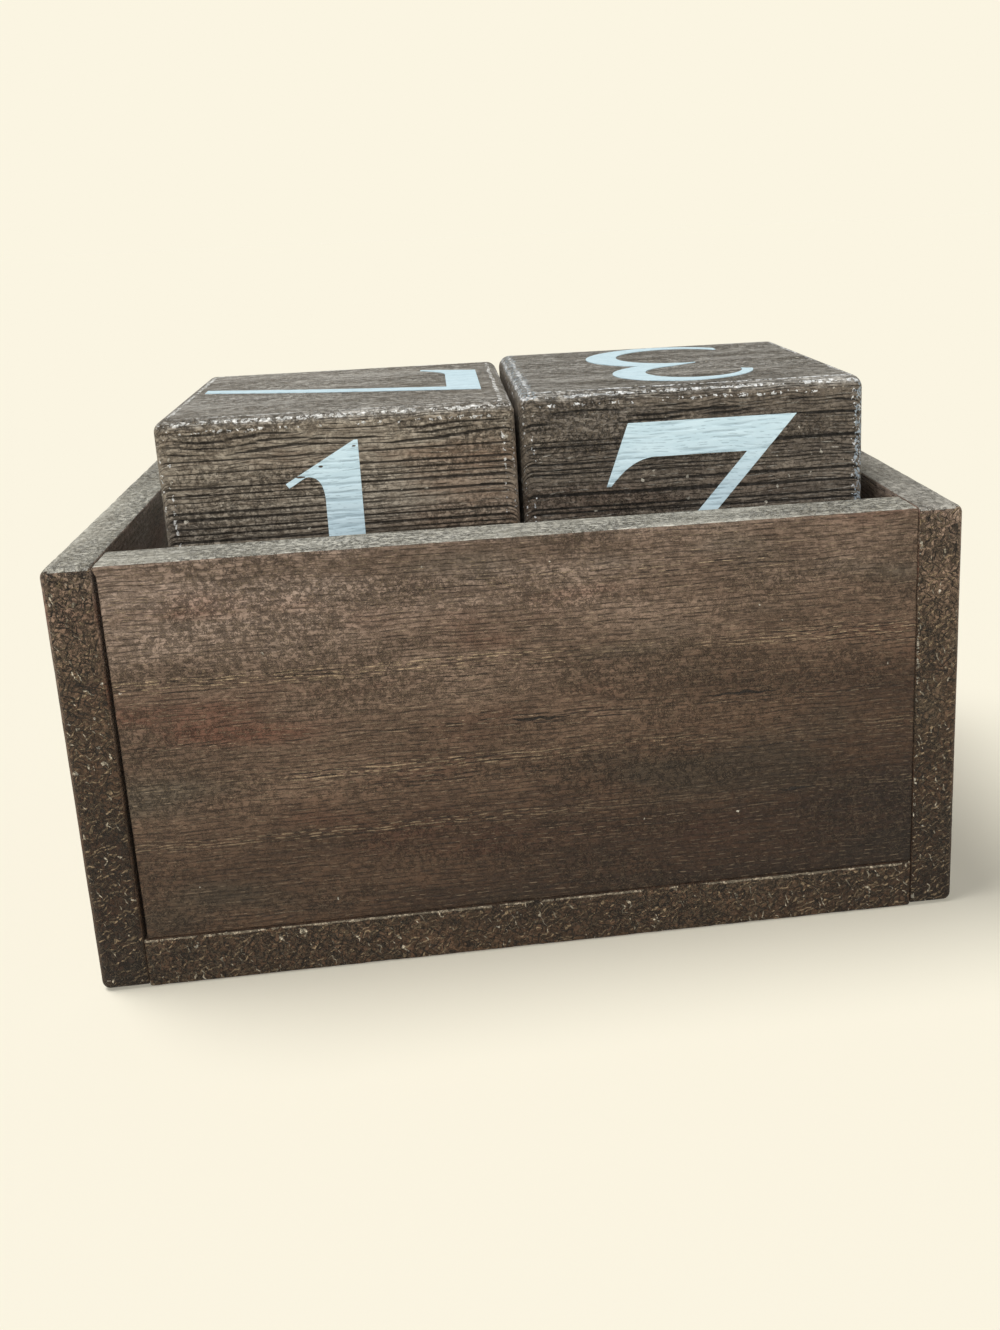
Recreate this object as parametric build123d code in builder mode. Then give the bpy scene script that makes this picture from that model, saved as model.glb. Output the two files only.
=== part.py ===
from build123d import *
import os

os.makedirs("parts", exist_ok=True)

# A perpetual calendar: an open-topped wooden box that holds three square month bars
# in a row, with two date cubes standing on them. All sizes are in millimetres.
# X runs along the box, Z points up, and the tall panel that hides the lower half of
# the cubes faces -Y. The far side, +Y, is open: it is the side that the date is read
# from. The origin is the middle of the box's underside.

# Box boards
box_height = 61.7
end_board_thickness = 6.6
bottom_board_thickness = 7.5
panel_thickness = 7.9
corner_round = 1.2
arris = 0.4

# Month bars
bar_side = 18.3
bar_arris = 0.7
bar_end_gap = 1.0
bar_floor_gap = 0.3
bar_row_gap = 0.4
rear_bar_gap = 4.8
display_ledge = 9.1

# Date cubes
left_cube_side = 50.8
right_cube_extra = 0.8
left_cube_edge_round = 1.7
right_cube_edge_round = 2.0
left_wall_gap = 6.2
right_wall_gap = 2.1
cube_gap = 0.6
cube_bar_gap = 0.4

# Painted figures. Each face has margins above the figure's head and below its foot.
paint_thickness = 0.12
left_head_margin = 4.1
right_head_margin = 5.0
cube_foot_margin = 3.2
bar_figure_margin = 3.0
bar_figure_spacing = 1.6
left_panel_side_shift = -2.5
left_top_shift = -2.7
right_panel_side_shift = 0.9
right_top_shift = -0.4

# Proportions of the figures, which are drawn one unit high and then scaled
heavy = 0.12
slim = 0.068
hair = 0.04
cap = 0.062
round_width = 0.55
waist = 0.56
low_terminal = 0.16
high_terminal = 0.73

# The box is as wide as its cubes and their gaps, and as deep as its bars, their gaps
# and the ledge in front of them.
bar_names = ["display_bar", "middle_bar", "rear_bar"]
bar_pitch = bar_side + bar_row_gap
right_cube_side = left_cube_side + right_cube_extra
inner_width = left_wall_gap + left_cube_side + cube_gap + right_cube_side + right_wall_gap
box_width = inner_width + 2 * end_board_thickness
box_depth = panel_thickness + rear_bar_gap + len(bar_names) * bar_pitch - bar_row_gap + display_ledge
box_left = -box_width / 2
panel_face = -box_depth / 2
display_face = box_depth / 2 - display_ledge
bar_length = inner_width - 2 * bar_end_gap
bar_base = bottom_board_thickness + bar_floor_gap
cube_base = bar_base + bar_side + cube_bar_gap
cube_panel_side = display_face - (left_cube_side + right_cube_side) / 2
left_cube_left = box_left + end_board_thickness + left_wall_gap
right_cube_left = left_cube_left + left_cube_side + cube_gap

# Directions, as seen by someone who faces the tall panel
to_panel, to_display = (0, -1, 0), (0, 1, 0)
to_left, to_right = (-1, 0, 0), (1, 0, 0)
up, down = (0, 0, 1), (0, 0, -1)


def finish(part, name):
    """Name a finished piece and write it to its own file."""
    part.label = name
    export_step(part, f"parts/{name}.step")


# The four boards of the box. The bottom board runs out to the panel's outer face,
# between the end boards, and the panel stands on it.

with BuildPart(Plane.XY) as bottom_board:
    Box(inner_width, box_depth, bottom_board_thickness, align=(Align.CENTER, Align.CENTER, Align.MIN))
    chamfer(bottom_board.edges(), arris)
finish(bottom_board.part, "bottom_board")

panel_height = box_height - bottom_board_thickness
with BuildPart(Plane((0, panel_face, bottom_board_thickness))) as back_panel:
    Box(inner_width, panel_thickness, panel_height, align=(Align.CENTER, Align.MIN, Align.MIN))
    chamfer(back_panel.edges(), arris)
finish(back_panel.part, "back_panel")

with BuildPart(Plane((box_left, 0, 0))) as left_end_board:
    Box(end_board_thickness, box_depth, box_height, align=(Align.MIN, Align.CENTER, Align.MIN))
    fillet(left_end_board.faces().sort_by(Axis.X)[0].edges(), corner_round)
    chamfer(left_end_board.faces().sort_by(Axis.X)[-1].edges(), arris)
finish(left_end_board.part, "left_end_board")

with BuildPart() as right_end_board:
    add(mirror(left_end_board.part, about=Plane.YZ))
finish(right_end_board.part, "right_end_board")


# The blocks: three month bars in a row, and two cubes on them

def bar_centre(place):
    """The middle of a month bar: the first is at the display side, the last next to the panel."""
    return Vector(0, display_face - bar_side / 2 - place * bar_pitch, bar_base + bar_side / 2)


def cube_centre(left, side):
    """The middle of a cube whose left face is at the given place along the box."""
    return Vector(left + side / 2, cube_panel_side + side / 2, cube_base + side / 2)


for place, name in enumerate(bar_names):
    with BuildPart(Plane(bar_centre(place))) as month_bar:
        Box(bar_length, bar_side, bar_side)
        chamfer(month_bar.edges(), bar_arris)
    finish(month_bar.part, name)

left_cube_centre = cube_centre(left_cube_left, left_cube_side)
with BuildPart(Plane(left_cube_centre)) as left_cube:
    Box(left_cube_side, left_cube_side, left_cube_side)
    fillet(left_cube.edges(), left_cube_edge_round)
finish(left_cube.part, "left_cube")

right_cube_centre = cube_centre(right_cube_left, right_cube_side)
with BuildPart(Plane(right_cube_centre)) as right_cube:
    Box(right_cube_side, right_cube_side, right_cube_side)
    fillet(right_cube.edges(), right_cube_edge_round)
finish(right_cube.part, "right_cube")


# The figures. Each is drawn one unit high with its foot on the X axis: heavy upright
# strokes, thin caps and hairlines, and a bar that ends in a slanted serif.

def disc(centre, half_width, half_height):
    """A filled oval of four arcs, which meet where their centres are in line."""
    long, short = max(half_width, half_height), min(half_width, half_height)
    tip = short * (0.15 + 0.8 * short / long)
    side = ((long - tip) ** 2 + short ** 2 - tip ** 2) / (2 * (short - tip))
    meet = Vector(short - side, 0) + Vector(side - short, long - tip).normalized() * side
    turn = 90 if half_width > half_height else 0
    with BuildSketch() as shape:
        with BuildLine():
            for x, y in ((1, 1), (-1, -1)):
                ThreePointArc((x * meet.X, -y * meet.Y), (x * short, 0), (x * meet.X, y * meet.Y))
                ThreePointArc((x * meet.X, y * meet.Y), (0, y * long), (-x * meet.X, y * meet.Y))
        make_face()
    return shape.sketch.rotate(Axis.Z, turn).moved(Location(centre))


def oval(centre, half_width, half_height, left, right):
    """A closed round stroke, whose left and right sides have their own weights."""
    hollow = (centre[0] + (left - right) / 2, centre[1])
    with BuildSketch() as shape:
        add(disc(centre, half_width, half_height))
        add(disc(hollow, half_width - (left + right) / 2, half_height - cap), mode=Mode.SUBTRACT)
    return shape.sketch


def serif_bar(length, slant):
    """The heavy bar along a figure's head: a serif at its left end, a slanted cut at its right."""
    serif_foot = 0.785
    underside = 1 - heavy
    with BuildSketch() as shape:
        with BuildLine():
            Polyline((0, serif_foot), (0.08, 1), (length, 1), (length - slant, underside), (0.17, underside))
            Bezier((0.17, underside), (0.09, underside), (0.016, serif_foot))
            Line((0.016, serif_foot), (0, serif_foot))
        make_face()
    return shape.sketch


def zero():
    """A closed oval, drawn the full height."""
    return oval((round_width / 2, 1 / 2), round_width / 2, 1 / 2, heavy, heavy)


def one():
    """A plain stem with a wedge-shaped flag."""
    stem_right = 0.244
    stem_left = stem_right - heavy
    with BuildSketch() as figure:
        with BuildLine():
            Polyline((stem_left, 0), (stem_right, 0), (stem_right, 1), (stem_right - 0.012, 1))
            Polyline((stem_right - 0.012, 1), (0, 0.866), (0.01, 0.85), (0.066, 0.884))
            Bezier((0.066, 0.884), (stem_left - 0.004, 0.89), (stem_left, 0.81))
            Line((stem_left, 0.81), (stem_left, 0))
        make_face()
    return figure.sketch


def two():
    """Half a bowl that runs down to a serif bar along the foot."""
    shoulder = 0.73
    inner_side = round_width - heavy
    foot_bar = serif_bar(round_width, heavy).rotate(Axis.Z, 180).moved(Location((round_width, 1)))
    with BuildSketch() as figure:
        add(oval((round_width / 2, shoulder), round_width / 2, 1 - shoulder, hair, heavy))
        with Locations((0, shoulder)):
            Rectangle(round_width, 1 - shoulder, align=Align.MIN, mode=Mode.INTERSECT)
        with BuildLine():
            Line((inner_side, shoulder), (round_width, shoulder))
            Bezier((round_width, shoulder), (round_width, 0.46), (0.2, heavy))
            Line((0.2, heavy), (0, 0))
            Bezier((0, 0), (inner_side, 0.46), (inner_side, shoulder))
        make_face()
        add(foot_bar)
    return figure.sketch


def three():
    """Two bowls, the lower one wider, with a pointed tongue between them."""
    tongue = 0.16
    upper_half_width = round_width / 2 - 0.02
    upper_half_height = (1 - waist + cap / 2) / 2
    upper_middle = 1 - upper_half_height
    lower_half_width = round_width / 2 + 0.035
    lower_half_height = (waist + cap / 2) / 2
    lower_middle = round_width - lower_half_width
    mouth = [
        (-heavy, high_terminal + heavy), (0.1, high_terminal), (0.3, waist + cap),
        (tongue, waist - cap / 2), (tongue, waist - cap), (0.28, waist - cap),
        (0.1, low_terminal), (0, low_terminal), (0, 0), (-heavy, 0),
    ]
    with BuildSketch() as figure:
        add(oval((upper_half_width, upper_middle), upper_half_width, upper_half_height, hair, heavy))
        add(oval((lower_middle, lower_half_height), lower_half_width, lower_half_height, hair, heavy))
        Polygon(*mouth, align=None, mode=Mode.SUBTRACT)
    return figure.sketch


def four():
    """A heavy stem crossed by a hairline, and a hairline slope from its head."""
    stem_right = 0.46
    crossing = 0.26
    slope = [(0, crossing + cap), (cap, crossing + cap), (stem_right, 1), (stem_right - heavy + hair, 1)]
    with BuildSketch() as figure:
        with Locations((stem_right, 0)):
            Rectangle(heavy, 1, align=(Align.MAX, Align.MIN))
        with Locations((0, crossing)):
            Rectangle(round_width, cap, align=Align.MIN)
        Polygon(*slope, align=None)
    return figure.sketch


def five():
    """A flag, a thin stem and an open bowl."""
    stem_left = 0.07
    stem_foot = 0.5
    half_height = 0.305
    mouth = [
        (-heavy, stem_foot + hair), (0.1, stem_foot + hair), (0.2, 0.34),
        (0.1, low_terminal), (-heavy, low_terminal),
    ]
    flag = [(stem_left, 1 - heavy), (round_width - cap, 1 - heavy), (round_width - hair, 1), (stem_left, 1)]
    with BuildSketch() as figure:
        add(oval((round_width / 2, half_height), round_width / 2, half_height, hair, heavy))
        Polygon(*mouth, align=None, mode=Mode.SUBTRACT)
        with Locations((stem_left, stem_foot)):
            Rectangle(cap, 1 - stem_foot, align=Align.MIN)
        Polygon(*flag, align=None)
    return figure.sketch


def six():
    """A closed bowl with a tail that rises from its left side."""
    half_height = 0.3
    tail_end = round_width - 0.03
    with BuildSketch() as figure:
        add(oval((round_width, half_height), round_width, 1 - half_height, heavy, hair))
        with Locations((0, half_height)):
            Rectangle(tail_end, 1 - half_height, align=Align.MIN, mode=Mode.INTERSECT)
        add(oval((round_width / 2, half_height), round_width / 2, half_height, heavy, heavy))
    return figure.sketch


def seven(head, knee, foot):
    """A serif bar with one slim stroke, straight down to the knee and curved to its foot."""
    top = Vector(head, 1)
    bend = Vector(*knee)
    leaving = bend + (bend - top) * (1 / 3)
    across = Vector(slim, 0)
    slant = heavy * (top.X - bend.X) / (top.Y - bend.Y)
    with BuildSketch() as figure:
        add(serif_bar(head, slant))
        with BuildLine():
            Line(top - across, top)
            Line(top, bend)
            Bezier(bend, leaving, (foot, 0))
            Line((foot, 0), (foot - slim, 0))
            Bezier((foot - slim, 0), leaving - across, bend - across)
            Line(bend - across, top - across)
        make_face()
    return figure.sketch


def wide_seven():
    return seven(head=0.663, knee=(0.368, 0.665), foot=0.248)


def narrow_seven():
    return seven(head=0.62, knee=(0.5, 0.53), foot=0.33)


def eight():
    """Two closed bowls, the lower one wider."""
    upper_half_width = round_width / 2 - 0.05
    upper_half_height = (1 - waist + cap) / 2
    upper_middle = 1 - upper_half_height
    with BuildSketch() as figure:
        add(oval((round_width / 2, upper_middle), upper_half_width, upper_half_height, heavy, heavy))
        add(oval((round_width / 2, waist / 2), round_width / 2, waist / 2, heavy, heavy))
    return figure.sketch


def nine():
    """A six turned half round."""
    with BuildSketch() as figure:
        add(six().rotate(Axis.Z, 180).moved(Location((round_width, 1))))
    return figure.sketch


drawn = {
    "0": zero, "1": one, "2": two, "3": three, "4": four,
    "5": five, "6": six, "7": wide_seven, "8": eight, "9": nine,
}


def centred(sketch):
    """A drawn figure moved so that its middle is at the origin."""
    middle = sketch.bounding_box().center()
    return sketch.moved(Location((-middle.X, -middle.Y)))


def number(digits, height):
    """A number of one or two digits at its real height, centred on the origin."""
    shapes = [scale(drawn[digit](), by=height) for digit in digits]
    with BuildSketch() as figure:
        reach = 0
        for shape in shapes:
            box = shape.bounding_box()
            add(shape.moved(Location((reach - box.min.X, 0))))
            reach += box.size.X + bar_figure_spacing
    return centred(figure.sketch)


def face_plane(centre, side, outward, head):
    """The face of a block that looks outward, with the plane's Y towards the figure's head."""
    normal = Vector(*outward)
    return Plane(centre + normal * (side / 2), x_dir=Vector(*head).cross(normal), z_dir=normal)


def paint(name, figure, plane):
    """A figure as a thin coat of paint on a block's face."""
    with BuildPart() as coat:
        with BuildSketch(plane):
            add(figure)
        extrude(amount=paint_thickness)
    finish(coat.part, name)


def paint_cube(cube_name, centre, side, head_margin, faces):
    """Paint a cube's six figures: each has its outline, its face, its head and a sideways shift."""
    height = side - head_margin - cube_foot_margin
    rise = (cube_foot_margin - head_margin) / 2
    for digit, (outline, outward, head, shift) in faces.items():
        figure = centred(scale(outline(), by=height)).moved(Location((shift, rise)))
        paint(f"{cube_name}_figure_{digit}", figure, face_plane(centre, side, outward, head))


paint_cube("left_cube", left_cube_centre, left_cube_side, left_head_margin, {
    "1": (one, to_panel, up, left_panel_side_shift),
    "7": (narrow_seven, up, to_right, left_top_shift),
    "4": (four, to_display, up, 0),
    "0": (zero, to_left, up, 0),
    "2": (two, to_right, up, 0),
    "5": (five, down, to_panel, 0),
})

paint_cube("right_cube", right_cube_centre, right_cube_side, right_head_margin, {
    "7": (wide_seven, to_panel, up, right_panel_side_shift),
    "3": (three, up, to_panel, right_top_shift),
    "2": (two, to_display, up, 0),
    "1": (one, to_left, up, 0),
    "6": (six, to_right, up, 0),
    "0": (zero, down, to_panel, 0),
})

# The month numbers follow each other round a bar, so that a quarter turn shows the next
bar_faces = [(to_display, up), (up, to_panel), (to_panel, down), (down, to_display)]
bar_figure_height = bar_side - 2 * bar_figure_margin
for place, name in enumerate(bar_names):
    for turn, (outward, head) in enumerate(bar_faces):
        month = place * len(bar_faces) + turn + 1
        plane = face_plane(bar_centre(place), bar_side, outward, head)
        paint(f"month_figure_{month}", number(str(month), bar_figure_height), plane)
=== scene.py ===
import math
import random
from dataclasses import dataclass
import bmesh
import bpy
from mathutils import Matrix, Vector, noise


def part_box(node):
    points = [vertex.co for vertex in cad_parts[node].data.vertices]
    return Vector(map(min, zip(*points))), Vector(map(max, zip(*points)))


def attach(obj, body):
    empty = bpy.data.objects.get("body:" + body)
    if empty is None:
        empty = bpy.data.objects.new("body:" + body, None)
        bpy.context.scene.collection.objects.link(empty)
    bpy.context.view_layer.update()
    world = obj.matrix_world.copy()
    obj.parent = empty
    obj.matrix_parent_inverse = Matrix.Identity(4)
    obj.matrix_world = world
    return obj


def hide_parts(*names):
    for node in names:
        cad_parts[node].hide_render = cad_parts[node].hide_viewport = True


# The looks of a wooden perpetual calendar: a box of four boards, three month bars and two
# date cubes, with painted figures. The scene is in metres. Furrows, roundings, wear and
# the patterns of the finishes are given in millimetres, and MM turns those into metres.

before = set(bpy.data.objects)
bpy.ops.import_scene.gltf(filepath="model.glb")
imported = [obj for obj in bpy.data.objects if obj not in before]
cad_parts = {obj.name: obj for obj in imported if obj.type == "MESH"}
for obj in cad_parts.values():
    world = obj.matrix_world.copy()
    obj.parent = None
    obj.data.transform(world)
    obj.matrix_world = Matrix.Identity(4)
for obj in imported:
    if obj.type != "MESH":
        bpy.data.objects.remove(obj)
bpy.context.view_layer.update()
MM = 0.001
X, Y, Z = 0, 1, 2


def clamped(value):
    """A number kept from 0 to 1."""
    return min(max(value, 0), 1)


def from_screen(red, green, blue):
    """A colour as it looks on a screen, 0 to 255, as the linear values that shaders use."""
    def linear(level):
        level /= 255
        return level / 12.92 if level <= 0.04045 else ((level + 0.055) / 1.055) ** 2.4
    return (linear(red), linear(green), linear(blue), 1)


# Shader nodes, and short ways to join them

def node_in(tree, kind, inputs=None, **settings):
    """Add a node, set what it is set to, and give its inputs a value or a link."""
    node = tree.nodes.new(kind)
    for key, value in settings.items():
        setattr(node, key, value)
    for key, value in (inputs or {}).items():
        if isinstance(value, bpy.types.NodeSocket):
            tree.links.new(value, node.inputs[key])
        elif value is not None:
            node.inputs[key].default_value = value
    return node


def maths(tree, operation, first, second=None, clamp=False):
    inputs = {0: first, 1: second}
    return node_in(tree, "ShaderNodeMath", inputs, operation=operation, use_clamp=clamp).outputs[0]


def product(tree, first, *others):
    """Some numbers multiplied with each other."""
    for other in others:
        first = maths(tree, "MULTIPLY", first, other)
    return first


def ramp(tree, value, start, width, clamp=True):
    """How far a value is along a width that begins at a start; clamped, it stays from 0 to 1."""
    return maths(tree, "DIVIDE", maths(tree, "SUBTRACT", value, start), width, clamp)


def apart(tree, first, second):
    """How far two numbers are from each other."""
    return maths(tree, "ABSOLUTE", maths(tree, "SUBTRACT", first, second))


def between(tree, value, low, high, start=0.0, end=1.0):
    """Turn a value that runs from low to high into a smooth step from start to end."""
    inputs = {"Value": value, "From Min": low, "From Max": high, "To Min": start, "To Max": end}
    node = node_in(tree, "ShaderNodeMapRange", inputs, interpolation_type="SMOOTHSTEP")
    return node.outputs["Result"]


def vectors(tree, operation, first, second=None):
    node = node_in(tree, "ShaderNodeVectorMath", {0: first, 1: second}, operation=operation)
    return node.outputs["Value" if operation in ("LENGTH", "DOT_PRODUCT") else "Vector"]


def scaled(tree, vector, factor):
    node = node_in(tree, "ShaderNodeVectorMath", {0: vector, "Scale": factor}, operation="SCALE")
    return node.outputs["Vector"]


def spread(tree, value):
    """One number as all three parts of a vector."""
    return node_in(tree, "ShaderNodeCombineXYZ", {0: value, 1: value, 2: value}).outputs[0]


def parts_of(tree, vector):
    return node_in(tree, "ShaderNodeSeparateXYZ", {0: vector}).outputs


def mixed(tree, share, first, second, blend_type="MIX"):
    """Two colours mixed: the first alone at a share of 0, and the second at 1."""
    inputs = {0: share, 6: first, 7: second}
    return node_in(tree, "ShaderNodeMix", inputs, data_type="RGBA", blend_type=blend_type).outputs[2]


def clouds(tree, place, scale=1.0, detail=2.0, roughness=0.5, distortion=0.0):
    inputs = {"Vector": place, "Scale": scale, "Detail": detail,
              "Roughness": roughness, "Distortion": distortion}
    return node_in(tree, "ShaderNodeTexNoise", inputs).outputs["Fac"]


def millimetres(tree):
    """The place on the piece, in millimetres."""
    return scaled(tree, node_in(tree, "ShaderNodeTexCoord").outputs["Object"], 1 / MM)


def new_material(name):
    material = bpy.data.materials.new(name)
    material.use_nodes = True
    material.node_tree.nodes.clear()
    return material, material.node_tree


# Camera, light and backdrop

CREAM = from_screen(251, 245, 226)
FLOOR_REACH = 4  # metres from its middle to each side
SKY_LEVEL = 0.12
WINDOW_LEVEL = 0.58
LAMP_LEVEL = 1 - SKY_LEVEL - WINDOW_LEVEL


def place_camera():
    """The camera, fitted to the straight edges of the box."""
    lens = bpy.data.cameras.new("view")
    lens.sensor_width = 36
    lens.lens = 34.961
    lens.shift_x = -0.06907
    lens.shift_y = -0.09769
    lens.clip_start = 0.01
    camera = bpy.data.objects.new("view", lens)
    camera.location = (-0.009756, -0.206042, 0.105155)
    camera.rotation_euler = (1.315131, 0.040824, -0.126833)
    bpy.context.scene.collection.objects.link(camera)
    bpy.context.scene.camera = camera


def place_lamp(name, level, height, side, breadth):
    """A far lamp that lights the floor to a level. Its height, side and breadth are in degrees."""
    light = bpy.data.lights.new(name, "SUN")
    light.energy = level * math.pi / math.sin(math.radians(height))
    light.angle = math.radians(breadth)
    lamp = bpy.data.objects.new(name, light)
    lamp.rotation_euler = (math.radians(90 - height), 0, math.radians(side))
    bpy.context.scene.collection.objects.link(lamp)


def place_lamps():
    """A high window on the left and a lamp in front; with the sky they light the floor to 1."""
    place_lamp("window", WINDOW_LEVEL, height=68, side=-104, breadth=32)
    place_lamp("lamp", LAMP_LEVEL, height=25, side=3, breadth=20)


def seen_directly(tree):
    """1 for rays from the camera, a gloss or a glass, 0 for light on its way to a surface."""
    path = node_in(tree, "ShaderNodeLightPath")
    either = maths(tree, "MAXIMUM", path.outputs["Is Camera Ray"], path.outputs["Is Glossy Ray"])
    return maths(tree, "MAXIMUM", either, path.outputs["Is Transmission Ray"])


def paint_sky():
    world = bpy.data.worlds.new("sky")
    world.use_nodes = True
    tree = world.node_tree
    tree.nodes.clear()
    light = node_in(tree, "ShaderNodeBackground", {"Color": (1, 1, 1, 1), "Strength": SKY_LEVEL})
    backdrop = node_in(tree, "ShaderNodeBackground", {"Color": CREAM, "Strength": 1})
    inputs = {0: seen_directly(tree), 1: light.outputs[0], 2: backdrop.outputs[0]}
    mix = node_in(tree, "ShaderNodeMixShader", inputs)
    node_in(tree, "ShaderNodeOutputWorld", {"Surface": mix.outputs[0]})
    bpy.context.scene.world = world


def lay_floor():
    mesh = bpy.data.meshes.new("floor")
    bm = bmesh.new()
    bmesh.ops.create_grid(bm, x_segments=1, y_segments=1, size=FLOOR_REACH)
    bm.to_mesh(mesh)
    bm.free()
    floor = bpy.data.objects.new("floor", mesh)
    material, tree = new_material("pale paper")
    surface = node_in(tree, "ShaderNodeBsdfDiffuse", {"Color": CREAM})
    node_in(tree, "ShaderNodeOutputMaterial", {"Surface": surface.outputs[0]})
    mesh.materials.append(material)
    bpy.context.scene.collection.objects.link(floor)


# Furrows cut into the wood. A furrow is worked out from the place alone, so that the
# paint on a face sinks where the wood under it does.

FURROW_LAYER = "furrow"


def drift(place, along, rise, seed):
    """A smooth noise from -1 to 1 that changes over one length along X and another across it."""
    return noise.noise(Vector((place.x / along, (place.y + place.z) / rise, seed)))


class Grain:
    """How one kind of wood is furrowed: spacing, length, width and depth in millimetres."""

    def __init__(self, pitch, length, width, depth, waver, slope, share, seed):
        self.pitch, self.length, self.width, self.depth = pitch, length, width, depth
        self.waver, self.slope, self.share, self.seed = waver, slope, share, seed
        self.rows = {}

    def row(self, number):
        """Where a furrow lies in its row, how wide it is, and where its pattern starts."""
        if number not in self.rows:
            draw = random.Random(f"{self.seed} {number}")
            self.rows[number] = (0.25 + 0.5 * draw.random(), 0.6 + 0.7 * draw.random(), 90 * draw.random())
        return self.rows[number]

    def furrow(self, place):
        """How deep a furrow is at a place in millimetres, from 0 to 1; the grain runs along X."""
        sway = self.waver * drift(place, along=15, rise=8, seed=self.seed)
        sway += 0.2 * drift(place, along=3, rise=2, seed=self.seed + 5.5)
        height = (place.y + place.z + sway - self.slope * place.x) / self.pitch
        number = math.floor(height)
        middle, thickness, start = self.row(number)
        off = abs(height - number - middle) * self.pitch
        half = self.width / 2 * thickness
        if off >= half:
            return 0.0
        swell = noise.noise(Vector((place.x / self.length + start, 1.37 * number, self.seed)))
        strength = clamped(self.share + 1.7 * swell)
        narrowed = half * (0.35 + 0.65 * strength)
        return clamped(1.5 * (1 - off / narrowed)) * strength


LEFT_CUBE_GRAIN = Grain(pitch=1.0, length=7, width=0.42, depth=0.2, waver=1.5, slope=0.015,
                        share=0.8, seed=4.3)
RIGHT_CUBE_GRAIN = Grain(pitch=0.95, length=5, width=0.42, depth=0.16, waver=1.1, slope=0.02,
                         share=0.65, seed=21.7)
BAR_GRAIN = Grain(pitch=1.5, length=14, width=0.6, depth=0.18, waver=1.0, slope=0.0,
                  share=0.45, seed=37.1)


# Shared effects of the finishes, as node groups

BOX_INPUTS = {"Low": (0, 0, 0), "High": (1, 1, 1)}
SOFT_EDGE = 0.08
FAR_OFF = 10


def new_group(name, inputs, *outputs):
    """A node group. An input is a vector where it starts as one, and the outputs are numbers."""
    tree = bpy.data.node_groups.new(name, "ShaderNodeTree")
    for title, value in inputs.items():
        kind = "NodeSocketVector" if isinstance(value, tuple) else "NodeSocketFloat"
        tree.interface.new_socket(name=title, in_out="INPUT", socket_type=kind).default_value = value
    for title in outputs:
        tree.interface.new_socket(name=title, in_out="OUTPUT", socket_type="NodeSocketFloat")
    given = node_in(tree, "NodeGroupInput").outputs
    result = node_in(tree, "NodeGroupOutput").inputs
    return tree, given, result


def use_group(tree, group, inputs):
    return node_in(tree, "ShaderNodeGroup", inputs, node_tree=group).outputs


def seeded_place(tree, seed):
    """The place in millimetres, moved by a seed so that each piece gets its own pattern."""
    return vectors(tree, "ADD", millimetres(tree), spread(tree, seed))


def shaken(tree, place, scale, detail, reach):
    """A place moved to all sides by a smooth noise, by up to half the reach."""
    off = node_in(tree, "ShaderNodeTexNoise", {"Vector": place, "Scale": scale, "Detail": detail})
    off = vectors(tree, "SUBTRACT", off.outputs["Color"], (0.5, 0.5, 0.5))
    return vectors(tree, "ADD", place, scaled(tree, off, reach))


def make_edge_group():
    """How far a place is from the nearest edge of a block, in millimetres."""
    tree, given, result = new_group("Edge distance", BOX_INPUTS, "Distance")
    place = millimetres(tree)
    from_low = vectors(tree, "SUBTRACT", place, given["Low"])
    from_high = vectors(tree, "SUBTRACT", given["High"], place)
    nearest = parts_of(tree, vectors(tree, "MINIMUM", from_low, from_high))
    smaller = maths(tree, "MINIMUM", nearest[0], nearest[1])
    larger = maths(tree, "MAXIMUM", nearest[0], nearest[1])
    middle = maths(tree, "MAXIMUM", smaller, maths(tree, "MINIMUM", larger, nearest[2]))
    tree.links.new(middle, result["Distance"])
    return tree


def make_wear_and_highlight_group(edge_group):
    """Pale spots along the edges of a block, in a row at some distance from the edge: rubbed wear, and on
    an arris that catches the light a painted highlight.
    """
    sizes = {"Middle": 0.4, "Thickness": 0.4, "Share": 0.5, "Spot size": 1.0, "Seed": 0.0}
    tree, given, result = new_group("Wear and highlight row", BOX_INPUTS | sizes, "Mask")
    place = seeded_place(tree, given["Seed"])
    distance = use_group(tree, edge_group, {"Low": given["Low"], "High": given["High"]})["Distance"]
    sway = maths(tree, "SUBTRACT", clouds(tree, place, scale=0.5, detail=1), 0.5)
    distance = maths(tree, "ADD", distance, product(tree, sway, 0.7))
    off = apart(tree, distance, given["Middle"])
    spots = clouds(tree, place, scale=maths(tree, "DIVIDE", 1, given["Spot size"]), detail=2, roughness=0.7)
    stretches = clouds(tree, place, scale=0.12, detail=2)
    dense = product(tree, given["Share"], between(tree, stretches, 0.36, 0.56, 0.55, 1.1))
    level = maths(tree, "SUBTRACT", 0.7, product(tree, dense, 0.24))
    swell = ramp(tree, spots, level, 0.035)
    half = product(tree, given["Thickness"], 0.5, swell)
    tree.links.new(ramp(tree, half, off, SOFT_EDGE), result["Mask"])
    return tree


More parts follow.
